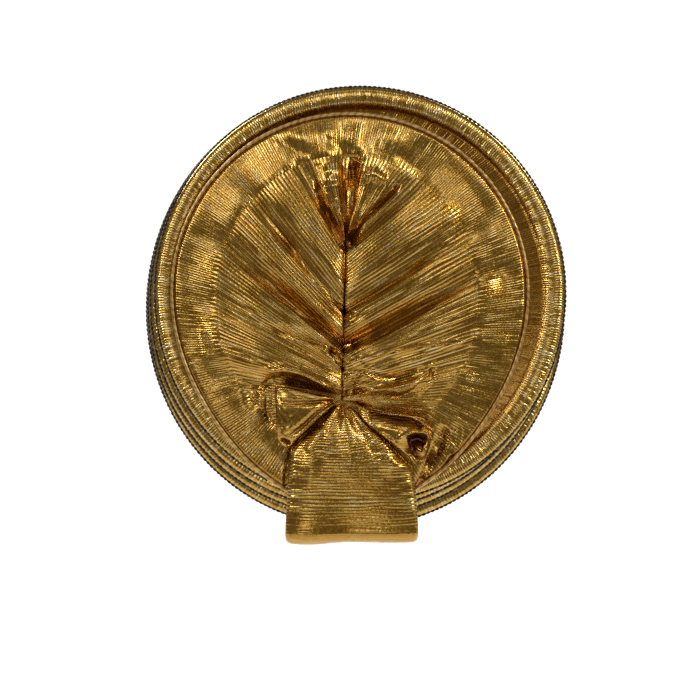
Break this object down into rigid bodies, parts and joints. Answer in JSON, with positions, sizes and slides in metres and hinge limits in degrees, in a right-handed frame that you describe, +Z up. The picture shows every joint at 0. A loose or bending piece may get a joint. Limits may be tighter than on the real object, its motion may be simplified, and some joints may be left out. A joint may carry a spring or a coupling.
{
  "type": "turban cap",
  "caption": "Ready-made fan head-tie in ribbed gold cloth: pleated round back, stacked padded rims with dark stone trim, hollow crown, nape band.",
  "frame": {"origin": "middle of the hollow that the head fills, 60 mm in front of the back panel's rim plane", "axes": "+Z up, +Y the way the wearer looks, so the pleated back faces -Y and the wearer's left is -X"},
  "size_m": [0.3126, 0.1526, 0.3387],
  "materials": {
    "gold_cloth": "ribbed gold lame cloth with a metallic sheen",
    "piping_cloth": "pale gold cloth rolled over a cord",
    "stone_trim": "near-black stone chain seen from its back"
  },
  "bodies": {
    "root": {"back_panel": "gold_cloth", "panel_piping": "piping_cloth", "crown_wall": "gold_cloth", "rim_layer_1": "gold_cloth", "rim_layer_2": "gold_cloth", "rim_layer_3": "gold_cloth", "rim_layer_4": "gold_cloth", "trim_1": "stone_trim", "trim_2": "stone_trim", "trim_3": "stone_trim", "trim_4": "stone_trim", "left_ear_fold": "gold_cloth", "right_ear_fold": "gold_cloth", "nape_band": "gold_cloth"}
  },
  "joints": []
}
